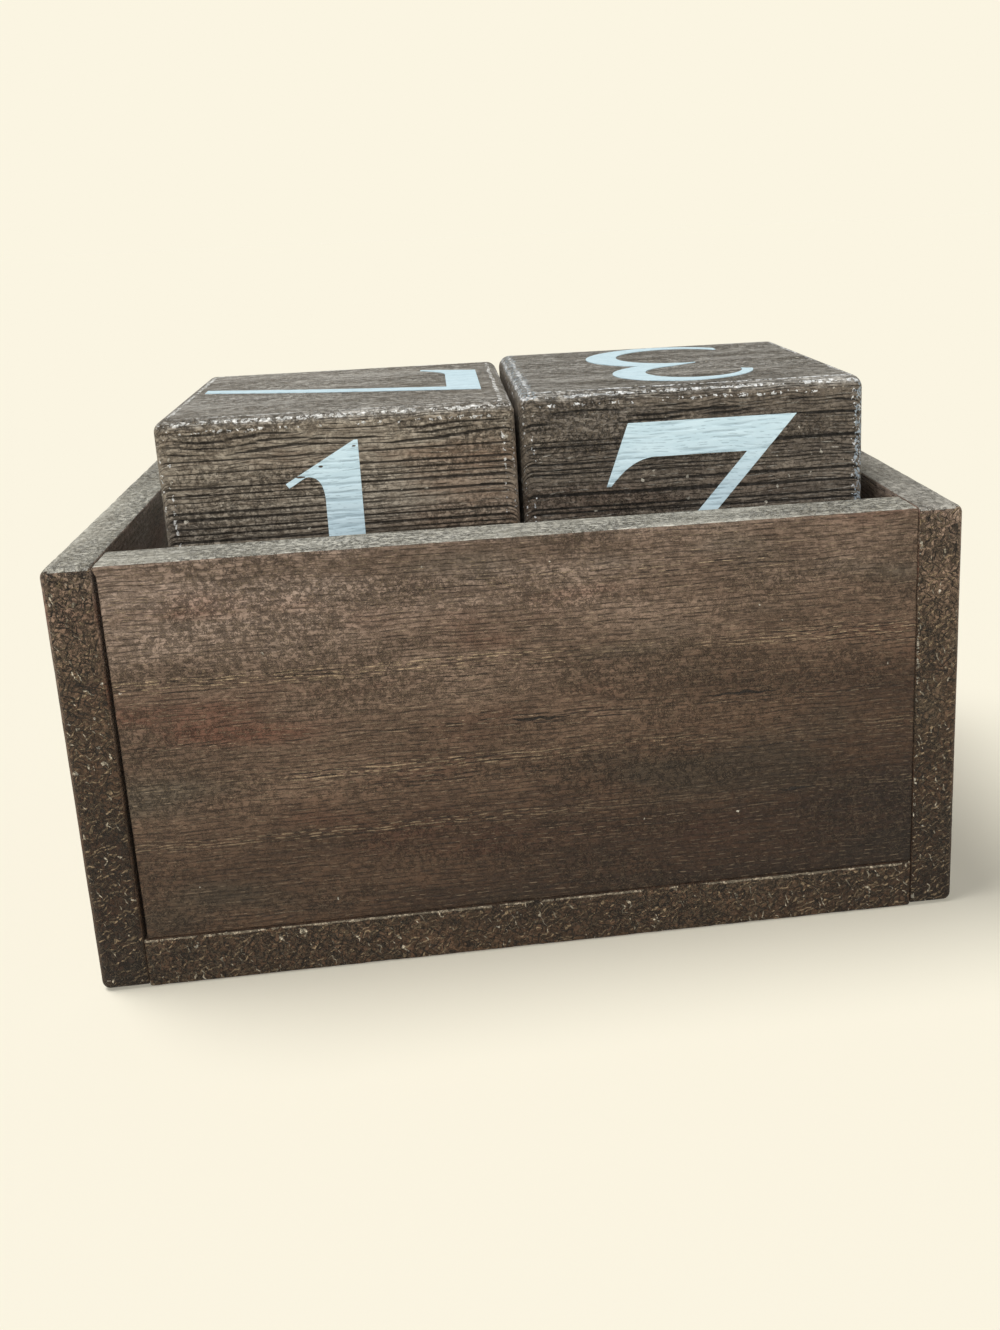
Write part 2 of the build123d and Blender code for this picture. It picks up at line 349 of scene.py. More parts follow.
def make_line_group():
    """Broken lines along the grain. Each keeps to its row, and swells and fades on its way."""
    ways = {"Along": (1, 0, 0), "Across": (0, 1, 1)}
    sizes = {"Pitch": 1.0, "Length": 8.0, "Width": 0.25, "Share": 0.5,
             "Waver": 1.5, "Bend": 0.11, "Seed": 0.0}
    tree, given, result = new_group("Broken lines", ways | sizes, "Mask")
    place = seeded_place(tree, given["Seed"])
    place = shaken(tree, place, scale=given["Bend"], detail=1.5, reach=given["Waver"])
    run = vectors(tree, "DOT_PRODUCT", place, given["Along"])
    rise = vectors(tree, "DOT_PRODUCT", place, given["Across"])
    height = maths(tree, "DIVIDE", rise, given["Pitch"])
    row = maths(tree, "FLOOR", height)
    chance = node_in(tree, "ShaderNodeTexWhiteNoise", {"W": row}, noise_dimensions="1D").outputs["Value"]
    middle = maths(tree, "ADD", product(tree, chance, 0.5), 0.25)
    off = product(tree, apart(tree, maths(tree, "SUBTRACT", height, row), middle), given["Pitch"])
    along_row = maths(tree, "DIVIDE", run, given["Length"])
    along_row = maths(tree, "ADD", along_row, product(tree, chance, 50))
    spot = node_in(tree, "ShaderNodeCombineXYZ", {0: along_row, 1: product(tree, row, 1.37)}).outputs[0]
    level = maths(tree, "SUBTRACT", 0.66, product(tree, given["Share"], 0.3))
    swell = ramp(tree, clouds(tree, spot, detail=2), level, 0.12)
    half = product(tree, given["Width"], 0.5, swell)
    soft = product(tree, given["Width"], 0.16)
    tree.links.new(ramp(tree, half, off, soft), result["Mask"])
    return tree


def make_curl_group():
    """Short curled fibres: thin pits and thin pale tips side by side."""
    tree, given, result = new_group("Curled fibres", {"Size": 1.0, "Seed": 0.0}, "Pits", "Tips")
    place = seeded_place(tree, given["Seed"])
    scale = maths(tree, "DIVIDE", 1, given["Size"])
    height = clouds(tree, place, scale=scale, detail=2, roughness=0.6, distortion=2.4)
    for title, middle, width, shift in (("Pits", 0.43, 0.1, 11.3), ("Tips", 0.57, 0.07, 23.9)):
        off = apart(tree, height, middle)
        thin = maths(tree, "SUBTRACT", 1, maths(tree, "DIVIDE", off, width, clamp=True))
        moved = vectors(tree, "ADD", place, (shift, 0, 0))
        gaps = clouds(tree, moved, scale=product(tree, scale, 0.9), detail=1)
        tree.links.new(product(tree, thin, between(tree, gaps, 0.42, 0.54)), result[title])
    return tree


def make_speck_group():
    """Small scattered specks, one at most in each cell."""
    sizes = {"Cell": 3.0, "Size": 0.5, "Share": 0.3, "Seed": 0.0}
    tree, given, result = new_group("Specks", sizes, "Mask")
    place = seeded_place(tree, given["Seed"])
    place = shaken(tree, place, scale=1.7, detail=1.0, reach=0.9)
    inputs = {"Vector": place, "Scale": maths(tree, "DIVIDE", 1, given["Cell"])}
    cells = node_in(tree, "ShaderNodeTexVoronoi", inputs).outputs
    chance = node_in(tree, "ShaderNodeSeparateColor", {0: cells["Color"]}).outputs[0]
    shown = ramp(tree, given["Share"], chance, given["Share"])
    radius = product(tree, given["Size"], 0.5, shown)
    distance = product(tree, cells["Distance"], given["Cell"])
    tree.links.new(ramp(tree, radius, distance, SOFT_EDGE), result["Mask"])
    return tree


def make_ring_group():
    """Year rings around a pith line along X, as they show on a sawn end."""
    tree, given, result = new_group("Year rings", {"Pith": (0, 0, 0), "Pitch": 2.0}, "Mask")
    place = vectors(tree, "SUBTRACT", millimetres(tree), given["Pith"])
    place = vectors(tree, "MULTIPLY", place, (0, 1, 1))
    sway = product(tree, clouds(tree, place, scale=0.09, detail=2), 7)
    radius = maths(tree, "ADD", vectors(tree, "LENGTH", place), sway)
    phase = maths(tree, "FRACT", maths(tree, "DIVIDE", radius, given["Pitch"]))
    late = between(tree, phase, 0.45, 0.93)
    tree.links.new(product(tree, late, between(tree, phase, 1.0, 0.96)), result["Mask"])
    return tree


EDGE_GROUP = make_edge_group()
WEAR_AND_HIGHLIGHT_GROUP = make_wear_and_highlight_group(EDGE_GROUP)
LINE_GROUP = make_line_group()
CURL_GROUP = make_curl_group()
SPECK_GROUP = make_speck_group()
RING_GROUP = make_ring_group()


# What the finishes are made of. Tones are as they look on a screen, 0 to 255.

@dataclass
class Lines:
    """One set of lines in the grain: sizes in millimetres, how many show, and how strongly.

    Lines with a turn run at that angle from X towards Z, in degrees, and the others along the grain."""
    pitch: float
    length: float
    width: float
    share: float
    waver: float = 1.5
    bend: float = 0.11
    turn: float = None
    tone: tuple = None
    strength: float = 1.0


@dataclass
class WearAndHighlightRow:
    """A row of pale spots along the edges: how far in it lies, how thick it is, and its spots."""
    middle: float
    thickness: float
    share: float
    spot_size: float


@dataclass
class Stain:
    """The tones of one stained surface, the marks on it, and how high they stand in millimetres.

    Tints, pits, tips, dust and frost are strengths from 0 to 1; the dust also paints a sheen on the top.
    Specks is how many places have one, and low_marks is how much of the pale marks is left at the foot of
    the box."""
    dark: tuple
    light: tuple
    tints: float
    pits: float
    tips: float
    curl_size: float
    relief: float
    lines: tuple = ()
    warm: tuple = (104, 76, 60)
    grey: tuple = (98, 94, 90)
    pit: tuple = (40, 31, 24)
    tip: tuple = (170, 152, 128)
    speck: tuple = (205, 198, 182)
    specks: float = 0.0
    speck_size: float = 0.7
    furrow: tuple = None
    worn: tuple = None
    rubbed: tuple = ()
    dust_and_sheen: float = 0.0
    frost: float = 0.0
    low_marks: float = 0.4


@dataclass
class Arris:
    """A pale line along one edge of a board. The edges that stay dark are moved off by low and high."""
    tone: tuple
    low: tuple
    high: tuple
    row: WearAndHighlightRow


@dataclass
class Shading:
    """How a board darkens to its foot, a painted shade that is partly uneven stain: more to the right with
    a fall, less with a lift, and just under the rim with under_rim.
    """
    fall: float
    steepness: float = 1.0
    lift: float = 0.0
    under_rim: float = 0.0


@dataclass
class Marks:
    """Cracks in a board, each with its start, end and height, and the heights of its streaks."""
    cracks: tuple
    streaks: tuple


@dataclass
class Nick:
    """A small place where the paint is gone, with its middle and its size."""
    x: float
    z: float
    length: float
    height: float


FACE = Stain(
    dark=(96, 79, 64), light=(140, 120, 102), warm=(118, 76, 58), grey=(96, 95, 84), tints=0.65,
    tip=(166, 143, 116), pits=0.5, tips=0.65, curl_size=0.6, specks=0.05, speck_size=0.5, relief=0.3,
    lines=(
        Lines(tone=(34, 24, 17), pitch=0.8, length=2.4, width=0.2, waver=0.9, share=0.75, strength=0.75),
        Lines(tone=(48, 36, 27), pitch=0.5, length=1.3, width=0.15, waver=0.9, share=0.65, strength=0.55),
        Lines(tone=(182, 160, 132), pitch=0.65, length=1.4, width=0.19, waver=0.9, share=0.6,
              strength=0.65),
        Lines(tone=(22, 15, 11), pitch=8, length=9, width=0.4, share=0.15)))


def sawn_fibres(turn, **settings):
    """Short bent fibres that lie at an angle on a sawn edge."""
    return Lines(turn=turn, waver=2.2, bend=0.6, **settings)


SAWN_STROKE = dict(tone=(30, 21, 14), pitch=0.8, length=1.6, width=0.26, share=0.7, strength=0.9)
SAWN = Stain(
    dark=(68, 51, 37), light=(114, 91, 69), warm=(100, 72, 54), grey=(88, 84, 68), tints=0.4,
    pit=(34, 24, 16), tip=(160, 140, 114), pits=0.85, tips=0.8, curl_size=0.55, specks=0.3,
    speck_size=0.55, relief=0.6, low_marks=0.9,
    lines=(
        sawn_fibres(25, tone=(138, 118, 92), pitch=0.8, length=1.5, width=0.3, share=0.75, strength=1.1),
        sawn_fibres(65, **SAWN_STROKE),
        sawn_fibres(115, tone=(196, 184, 162), pitch=1.1, length=1.4, width=0.28, share=0.4),
        sawn_fibres(155, **SAWN_STROKE)))

# The pale tops of the boards: worn pale, and partly a painted sheen that the tops catch at a grazing view
RIM = Stain(
    dark=(134, 130, 118), light=(208, 205, 192), tints=0.15, pit=(76, 72, 62), tip=(236, 233, 226),
    pits=0.85, tips=0.8, curl_size=0.8, relief=0.25)
# The top of the right end board, darker than the other tops: painted shade
SHADED_RIGHT_RIM = Stain(
    dark=(108, 104, 96), light=(178, 174, 164), tints=0.15, pit=(60, 56, 48), tip=(226, 222, 214),
    pits=0.85, tips=0.9, curl_size=0.8, relief=0.25)

LEFT_CUBE = Stain(
    dark=(123, 111, 96), light=(176, 165, 148), warm=(126, 92, 66), tints=0.5, furrow=(28, 22, 16),
    pits=0.7, tips=0.65, curl_size=0.6, specks=0.14, dust_and_sheen=0.85, relief=0.22, worn=(246, 245, 240),
    rubbed=(WearAndHighlightRow(middle=0.5, thickness=0.6, share=0.9, spot_size=0.7),
            WearAndHighlightRow(middle=1.8, thickness=0.6, share=1.0, spot_size=0.7)),
    lines=(Lines(tone=(44, 35, 26), pitch=0.55, length=3, width=0.18, share=0.75, strength=0.85),
           Lines(tone=(204, 194, 176), pitch=0.7, length=2, width=0.18, share=0.5, strength=0.75)))
RIGHT_CUBE = Stain(
    dark=(83, 74, 65), light=(136, 125, 111), warm=(96, 68, 50), tints=0.4, furrow=(14, 10, 7),
    pit=(18, 13, 9), pits=0.75, tips=0.7, curl_size=0.6, specks=0.45, dust_and_sheen=0.85, frost=0.85,
    relief=0.26, worn=(246, 247, 246),
    rubbed=(WearAndHighlightRow(middle=0.5, thickness=0.65, share=0.95, spot_size=0.7),
            WearAndHighlightRow(middle=1.8, thickness=0.65, share=0.95, spot_size=0.7)),
    lines=(Lines(tone=(22, 16, 11), pitch=0.55, length=2.6, width=0.2, share=0.8, strength=0.95),
           Lines(tone=(190, 184, 172), pitch=0.7, length=1.8, width=0.18, share=0.55, strength=0.85)))

# Grey dust and a painted sheen on the tops of the cubes and bars
DUST_AND_SHEEN_TONES = (78, 74, 67), (198, 195, 188)
FROST_TONE = (182, 196, 206)
CRACK_TONE = (22, 15, 11)
PAINT_TONES = (198, 222, 231), (211, 233, 241)
SUNK_PAINT_TONE = (120, 142, 152)
CHIP_TONE, NICK_TONE = (92, 84, 74), (70, 60, 50)
BROAD_BANDS = Lines(pitch=9, length=30, width=2.2, share=0.8, waver=2.0)
STREAK_SHADOWS = Lines(tone=(34, 24, 17), pitch=0.6, length=2, width=0.22, share=0.75, waver=1.2)
STREAK_DASHES = Lines(tone=(172, 150, 120), pitch=0.5, length=1.5, width=0.22, share=0.7, waver=1.2)
PAINTED_GRAIN = Lines(tone=(150, 174, 184), pitch=0.5, length=1.6, width=0.2, share=0.6, strength=0.4)

# Painted highlight: a pale line along the top arris of the bottom board, where it catches the light
BOTTOM_ARRIS = Arris(tone=(180, 166, 144), low=(-50, 0, -50), high=(50, 0, 0),
                     row=WearAndHighlightRow(middle=0.25, thickness=0.55, share=1.6, spot_size=3.0))
# Pale specks down the front inner edge of the right end board, at its joint with the panel
JOINT_ARRIS = Arris(tone=(206, 198, 180), low=(0, 0, -50), high=(50, 50, 50),
                    row=WearAndHighlightRow(middle=0.25, thickness=0.5, share=0.6, spot_size=0.9))

# Painted shade on the boards, partly uneven stain: darker to the foot and to the right
END_BOARD_EDGES = Shading(fall=-0.2, steepness=1.4, lift=-0.17)
BOTTOM_BOARD_EDGES = Shading(fall=0.05, steepness=1.25, lift=0.6)
PANEL_FACES = Shading(fall=0.8, steepness=0.93, lift=0.08, under_rim=0.16)
PLAIN_FACES = Shading(fall=0.1)
SHADED_FROM_LEFT, SHADED_WIDTH = -62, 124
SHADED_FROM_FOOT, SHADED_HEIGHT = 8, 54
# What the painted shade leaves of red, green and blue at the foot, and how many times more at the top
SHADE_LEVELS = (0.25, 6.2), (0.184, 9.1), (0.138, 14.0)

PANEL_MARKS = Marks(cracks=((-3.4, 6.3, 35.4), (24.0, 36.0, 36.6), (34.9, 41.6, 21.1)),
                    streaks=(44.7, 30.2, 21.2))
NICKS = (Nick(-21.85, 72.3, length=0.6, height=0.28), Nick(-26.78, 69.62, length=0.7, height=0.32),
         Nick(-29.72, 68.24, length=1.3, height=0.3))


def lines_mask(tree, lines, seed, run=(1, 0, 0), across=(0, 1, 1)):
    """Where a set of lines shows, on grain that runs along one way and has its rows across it."""
    if lines.turn is not None:
        turn = math.radians(lines.turn)
        run = (math.cos(turn), 0, math.sin(turn))
        across = (-math.sin(turn), 0, math.cos(turn))
    return use_group(tree, LINE_GROUP, {
        "Along": run, "Across": across, "Pitch": lines.pitch, "Length": lines.length, "Width": lines.width,
        "Share": lines.share, "Waver": lines.waver, "Bend": lines.bend, "Seed": seed})["Mask"]


def specks_mask(tree, cell, size, share, seed):
    inputs = {"Cell": cell, "Size": size, "Share": share, "Seed": seed}
    return use_group(tree, SPECK_GROUP, inputs)["Mask"]


def cracks_mask(tree, place, cracks):
    """Thin cracks along X that taper to both ends."""
    spot = parts_of(tree, place)
    sway = maths(tree, "SUBTRACT", clouds(tree, place, scale=0.6, detail=2), 0.5)
    mask = 0
    for start, end, height in cracks:
        along = ramp(tree, spot["X"], start, end - start)
        taper = product(tree, along, maths(tree, "SUBTRACT", 1, along))
        off = maths(tree, "ADD", maths(tree, "SUBTRACT", spot["Z"], height), sway)
        crack = maths(tree, "SUBTRACT", product(tree, taper, 0.9), maths(tree, "ABSOLUTE", off))
        mask = maths(tree, "MAXIMUM", mask, maths(tree, "DIVIDE", crack, SOFT_EDGE, clamp=True))
    return mask


def near_heights(tree, place, heights):
    """1 at the given heights, and 0 from 1.3 mm off."""
    rise = maths(tree, "ADD", parts_of(tree, place)["Z"], clouds(tree, place, scale=0.05, detail=2))
    nearest = FAR_OFF
    for height in heights:
        nearest = maths(tree, "MINIMUM", nearest, apart(tree, rise, height + 0.5))
    return between(tree, nearest, 1.3, 0.4)


def nick_mask(tree, nick):
    """One nick in the paint, an oval with a ragged edge."""
    place = millimetres(tree)
    off = vectors(tree, "SUBTRACT", vectors(tree, "MULTIPLY", place, (1, 0, 1)), (nick.x, 0, nick.z))
    off = vectors(tree, "LENGTH", vectors(tree, "DIVIDE", off, (nick.length / 2, 1, nick.height / 2)))
    off = maths(tree, "ADD", off, clouds(tree, place, scale=2.5, detail=2))
    return between(tree, off, 1.6, 1.3)


def furrow_depth(tree):
    """How deep the furrow is, 0 to 1, as the mesh keeps it."""
    return node_in(tree, "ShaderNodeAttribute", attribute_name=FURROW_LAYER).outputs["Fac"]


def finish_surface(tree, colour, roughness, gloss, relief, strength, depth):
    """The shader of a finish, with a relief that stands up by a depth in millimetres."""
    bump = node_in(tree, "ShaderNodeBump", {"Strength": strength, "Distance": depth * MM, "Height": relief})
    shader = node_in(tree, "ShaderNodeBsdfPrincipled", {
        "Base Color": colour, "Roughness": roughness, "Specular IOR Level": gloss,
        "Normal": bump.outputs[0]})
    node_in(tree, "ShaderNodeOutputMaterial", {"Surface": shader.outputs[0]})


class Wood:
    """Stained wood for one piece, laid on layer by layer, with its grain along one axis."""

    def __init__(self, name, node, along, stain, seed):
        self.material, self.tree = new_material(name)
        self.low, self.high = (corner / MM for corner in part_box(node))
        self.stain, self.seed = stain, seed
        self.run = [1.0 if axis == along else 0.0 for axis in (X, Y, Z)]
        self.across = [0.0 if axis == along else 1.0 for axis in (X, Y, Z)]
        self.place = millimetres(self.tree)
        self.spot = parts_of(self.tree, self.place)
        drawn_out = [0.25 if axis == along else 1.0 for axis in (X, Y, Z)]
        self.laid = vectors(self.tree, "MULTIPLY", self.place, drawn_out)
        self.broad = self.drawn_clouds((seed, seed, seed), scale=0.12, detail=3, roughness=0.6)
        self.fine = self.drawn_clouds((seed, seed, seed), scale=1.6, detail=3, roughness=0.7)
        self.tint = self.drawn_clouds((seed + 40, 3, 9), scale=0.09, detail=2)
        patches = self.drawn_clouds((9, seed + 70, 2), scale=0.16, detail=2)
        self.curly = between(self.tree, patches, 0.4, 0.62, 0.35, 1.0)
        self.lined = between(self.tree, patches, 0.62, 0.42, 0.6, 1.0)
        self.tone = maths(self.tree, "ADD", product(self.tree, self.broad, 0.4),
                          product(self.tree, self.fine, 0.6))
        self.colour = mixed(self.tree, between(self.tree, self.tone, 0.36, 0.64),
                            from_screen(*stain.dark), from_screen(*stain.light))
        self.relief = product(self.tree, self.fine, 0.4)
        self.lit = 1

    def drawn_clouds(self, shift, **settings):
        """Clouds that are drawn out along the grain."""
        return clouds(self.tree, vectors(self.tree, "ADD", self.laid, shift), **settings)

    def cover(self, share, tone):
        """Lay a tone over the colour so far, as strongly as a share says."""
        self.colour = mixed(self.tree, share, self.colour, from_screen(*tone))

    def lay_tints(self):
        """A warm and a grey tint in places."""
        tree, stain = self.tree, self.stain
        self.cover(between(tree, self.tint, 0.54, 0.72, 0, stain.tints), stain.warm)
        self.cover(between(tree, self.tint, 0.46, 0.3, 0, stain.tints), stain.grey)

    def paint_shade_to_foot(self, shading):
        """Darken a board of the box towards its foot, and its pale marks with it: a painted shade, partly
        uneven stain.
        """
        tree, top = self.tree, self.high.z
        to_right = ramp(tree, self.spot["X"], SHADED_FROM_LEFT, SHADED_WIDTH, clamp=False)
        climb = ramp(tree, self.spot["Z"], SHADED_FROM_FOOT, SHADED_HEIGHT, clamp=False)
        drop = product(tree, maths(tree, "SUBTRACT", 1.2, climb), shading.fall)
        drop = product(tree, product(tree, to_right, to_right), drop)
        height = maths(tree, "ADD", product(tree, climb, shading.steepness), shading.lift)
        height = maths(tree, "SUBTRACT", height, drop)
        darker = between(tree, self.spot["Z"], top - 5, top - 0.8, 0, shading.under_rim)
        height = maths(tree, "SUBTRACT", height, darker)
        uneven = product(tree, maths(tree, "SUBTRACT", self.broad, 0.5), 0.4)
        height = maths(tree, "ADD", height, uneven)
        levels = [product(tree, lowest, maths(tree, "POWER", times, height))
                  for lowest, times in SHADE_LEVELS]
        shade = node_in(tree, "ShaderNodeCombineXYZ", dict(enumerate(levels))).outputs[0]
        self.colour = mixed(tree, 1.0, self.colour, shade, blend_type="MULTIPLY")
        self.lit = between(tree, height, 0.03, 0.9, self.stain.low_marks, 1)

    def lay_dust_and_sheen(self):
        """Grey dust on the top, and a painted sheen there: the top turns greyer than the sides."""
        tree, top = self.tree, self.high.z
        dust_and_sheen_share = between(tree, self.spot["Z"], top - 1.6, top - 0.4, 0, self.stain.dust_and_sheen)
        dark, light = (from_screen(*tone) for tone in DUST_AND_SHEEN_TONES)
        dust_and_sheen = mixed(tree, between(tree, self.tone, 0.38, 0.62), dark, light)
        self.colour = mixed(tree, dust_and_sheen_share, self.colour, dust_and_sheen)

    def draw_rings(self):
        """Year rings and pores on a sawn end."""
        tree = self.tree
        middle = (self.low + self.high) / 2
        pith = (0, middle.y - 31 + self.seed % 7, middle.z - 24)
        rings = use_group(tree, RING_GROUP, {"Pith": pith, "Pitch": 2.3})["Mask"]
        self.cover(product(tree, rings, 0.45), self.stain.pit)
        pores = specks_mask(tree, cell=0.8, size=0.5, share=0.7, seed=self.seed + 3)
        self.cover(product(tree, pores, 0.4), self.stain.pit)
        self.relief = maths(tree, "SUBTRACT", self.relief, pores)

    def draw_lines(self):
        """The lines of the grain, stronger in broad bands; the pale ones stand up, the dark ones sink."""
        tree = self.tree
        bands = lines_mask(tree, BROAD_BANDS, self.seed + 50, self.run, self.across)
        pale_lined = product(tree, self.lined, between(tree, bands, 0, 1, 0.6, 1.2))
        dark_lined = product(tree, self.lined, between(tree, bands, 0, 1, 0.8, 1.3))
        for order, lines in enumerate(self.stain.lines):
            mask = lines_mask(tree, lines, self.seed + 13.7 * order, self.run, self.across)
            pale = lines.tone[0] > self.stain.dark[0]
            shown = 1 if lines.turn is not None else pale_lined if pale else dark_lined
            share = product(tree, mask, shown, lines.strength)
            if pale:
                share = product(tree, share, self.lit)
            share = maths(tree, "MINIMUM", share, 1)
            self.cover(share, lines.tone)
            self.relief = maths(tree, "ADD" if pale else "SUBTRACT", self.relief, share)

    def draw_marks(self, marks):
        """Streaks of dark and pale dashes, and cracks."""
        tree = self.tree
        dashes = lines_mask(tree, STREAK_DASHES, self.seed + 61)
        shadows = lines_mask(tree, STREAK_SHADOWS, self.seed + 83)
        stretches = between(tree, self.tint, 0.4, 0.55, 0.35, 1.0)
        streak = product(tree, near_heights(tree, self.place, marks.streaks), stretches)
        self.cover(product(tree, streak, shadows), STREAK_SHADOWS.tone)
        self.cover(product(tree, streak, dashes, self.lit), STREAK_DASHES.tone)
        cracks = cracks_mask(tree, self.place, marks.cracks)
        self.cover(cracks, CRACK_TONE)
        self.relief = maths(tree, "SUBTRACT", self.relief, cracks)

    def curl_fibres(self):
        """Short curled fibres that stand up, with dark pits between them."""
        tree, stain = self.tree, self.stain
        curls = use_group(tree, CURL_GROUP, {"Size": stain.curl_size, "Seed": self.seed})
        pits = product(tree, curls["Pits"], self.curly, stain.pits)
        tips = product(tree, curls["Tips"], self.curly, stain.tips, self.lit)
        self.cover(pits, stain.pit)
        self.cover(tips, stain.tip)
        self.relief = maths(tree, "ADD", self.relief, maths(tree, "SUBTRACT", tips, pits))

    def darken_furrows(self):
        """Dark stain that has gathered in the furrows."""
        self.cover(between(self.tree, furrow_depth(self.tree), 0.06, 0.5, 0, 0.92), self.stain.furrow)

    def scatter_specks(self):
        """Pale specks, and more of them near the edges of a cube or bar."""
        tree, stain = self.tree, self.stain
        share = stain.specks
        if stain.rubbed:
            distance = use_group(tree, EDGE_GROUP, {"Low": self.low, "High": self.high})["Distance"]
            share = between(tree, distance, 2.8, 0.4, share, 0.85)
        specks = specks_mask(tree, cell=1.7, size=stain.speck_size, share=share, seed=self.seed)
        self.cover(product(tree, specks, 0.85), stain.speck)

    def lay_frost(self):
        """Ragged pale spots where the top meets the left side, and where the front meets the right."""
        tree, spot, low, high = self.tree, self.spot, self.low, self.high
        on_left = between(tree, spot["X"], low.x + 4.5, low.x + 1.2)
        on_top = between(tree, spot["Z"], high.z - 1.6, high.z - 0.4)
        on_right = between(tree, spot["X"], high.x - 2.2, high.x - 1.2)
        in_front = between(tree, spot["Y"], low.y + 2.4, low.y + 1)
        frosty = maths(tree, "MAXIMUM", product(tree, on_left, on_top), product(tree, on_right, in_front))
        ragged = clouds(tree, self.place, scale=1.5, detail=3, roughness=0.7)
        frost = ramp(tree, ragged, between(tree, frosty, 0, 1, 0.75, 0.5), 0.06)
        self.cover(product(tree, frost, self.stain.frost), FROST_TONE)

    def wear_and_highlight_row(self, row, low, high, share, tone, seed):
        """Lay one row of pale spots along the edges of a block: rubbed wear on the cubes and bars, and a
        painted highlight on the bottom board's arris.
        """
        mask = use_group(self.tree, WEAR_AND_HIGHLIGHT_GROUP, {
            "Low": low, "High": high, "Middle": row.middle, "Thickness": row.thickness,
            "Share": share, "Spot size": row.spot_size, "Seed": seed})["Mask"]
        self.cover(product(self.tree, mask, 0.9), tone)

    def rub_edges(self):
        """Rub the edges of a cube or bar, and twice as much at its top."""
        tree, top = self.tree, self.high.z
        at_top = between(tree, self.spot["Z"], top - 1.3, top - 0.7, 0.5, 1)
        for order, row in enumerate(self.stain.rubbed):
            share = product(tree, at_top, row.share)
            self.wear_and_highlight_row(row, self.low, self.high, share, self.stain.worn, self.seed + 5.1 * order)

    # A pale line along one edge of a board; on the bottom board it is a painted highlight
    def lighten_arris(self, arris):
        low, high = self.low + Vector(arris.low), self.high + Vector(arris.high)
        self.wear_and_highlight_row(arris.row, low, high, arris.row.share, arris.tone, self.seed)

    def finish(self):
        roughness = between(self.tree, self.fine, 0.2, 0.8, 0.6, 0.78)
        finish_surface(self.tree, self.colour, roughness, gloss=0.35, relief=self.relief,
                       strength=1.0, depth=self.stain.relief)
        return self.material


def finish_wood(name, node, along, stain, seed, shading=None, arris=None, marks=None, end=False):
    """Stained wood: its tones first, then its grain, and then dirt and wear."""
    wood = Wood(name, node, along, stain, seed)
    wood.lay_tints()
    if shading:
        wood.paint_shade_to_foot(shading)
    if stain.dust_and_sheen:
        wood.lay_dust_and_sheen()
    if end:
        wood.draw_rings()
    else:
        wood.draw_lines()
    if marks:
        wood.draw_marks(marks)
    wood.curl_fibres()
    if stain.furrow:
        wood.darken_furrows()
    if stain.specks:
        wood.scatter_specks()
    if stain.frost:
        wood.lay_frost()
    if stain.rubbed:
        wood.rub_edges()
    if arris:
        wood.lighten_arris(arris)
    return wood.finish()


def finish_paint(name, seed, nicks=()):
    """Brushed pale blue paint that lets the grain under it show faintly."""
    material, tree = new_material(name)
    laid = vectors(tree, "MULTIPLY", millimetres(tree), (0.12, 1, 1))
    cloudy = clouds(tree, vectors(tree, "ADD", laid, (seed, 0, 0)), scale=1.3, detail=3)
    dark, light = (from_screen(*tone) for tone in PAINT_TONES)
    colour = mixed(tree, between(tree, cloudy, 0.3, 0.7), dark, light)
    lines = lines_mask(tree, PAINTED_GRAIN, seed)
    share = product(tree, lines, PAINTED_GRAIN.strength)
    colour = mixed(tree, share, colour, from_screen(*PAINTED_GRAIN.tone))
    sunk = between(tree, furrow_depth(tree), 0.1, 0.8, 0, 0.4)
    colour = mixed(tree, sunk, colour, from_screen(*SUNK_PAINT_TONE))
    chips = specks_mask(tree, cell=3.5, size=0.8, share=0.12, seed=seed)
    colour = mixed(tree, product(tree, chips, 0.8), colour, from_screen(*CHIP_TONE))
    for nick in nicks:
        colour = mixed(tree, nick_mask(tree, nick), colour, from_screen(*NICK_TONE))
    relief = maths(tree, "SUBTRACT", cloudy, product(tree, lines, 0.5))
    finish_surface(tree, colour, roughness=0.65, gloss=0.3, relief=relief, strength=0.7, depth=0.08)
    return material


FIGURE_PAINT = finish_paint("figure paint", seed=31.0)
NICKED_PAINT = finish_paint("nicked paint", seed=31.0, nicks=NICKS)


# Meshes

SAME_PLACE = 1e-7
FACING, SQUARE_ON, FULL_SLANT = 0.7, 0.9999, 0.29
BOARD_ROUNDING, END_BOARD_ROUNDING, JOINT_ROUNDING, BAR_ROUNDING = 0.4, 1.2, 0.3, 0.7
BOARD_WEAR = 0.22
PAINT_SINKS, PAINT_SKIN = 0.08, 0.03
CUBE_TOP_SHARE, BAR_TOP_SHARE = 0.25, 1.0
BOARD_PITCHES = (1.0, 1.0, 1.0)
CUBE_PITCHES, CUBE_FIGURE_PITCHES = (1.5, 0.13, 0.13), (2.0, 0.3, 0.3)
BAR_PITCHES, BAR_FIGURE_PITCHES = (2.0, 0.15, 0.15), (3.0, 0.6, 0.6)


def add_piece(name, bm, body, replaced, materials):
    """Put a finished mesh in the scene as a piece of the object."""
    mesh = bpy.data.meshes.new(name)
    bm.to_mesh(mesh)
    bm.free()
    for material in materials:
        mesh.materials.append(material)
    piece = bpy.data.objects.new(name, mesh)
    bpy.context.scene.collection.objects.link(piece)
    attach(piece, body)
    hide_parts(replaced)


def plain_block(low, high):
    bm = bmesh.new()
    bmesh.ops.create_cube(bm, size=1)
    bmesh.ops.scale(bm, vec=high - low, verts=bm.verts)
    bmesh.ops.translate(bm, vec=(high + low) / 2, verts=bm.verts)
    return bm


def bevel(bm, edges, rounding, segments):
    bmesh.ops.bevel(bm, geom=edges, offset=rounding * MM, offset_type="OFFSET", affect="EDGES",
                    segments=segments, profile=0.5, material=-1, clamp_overlap=False)


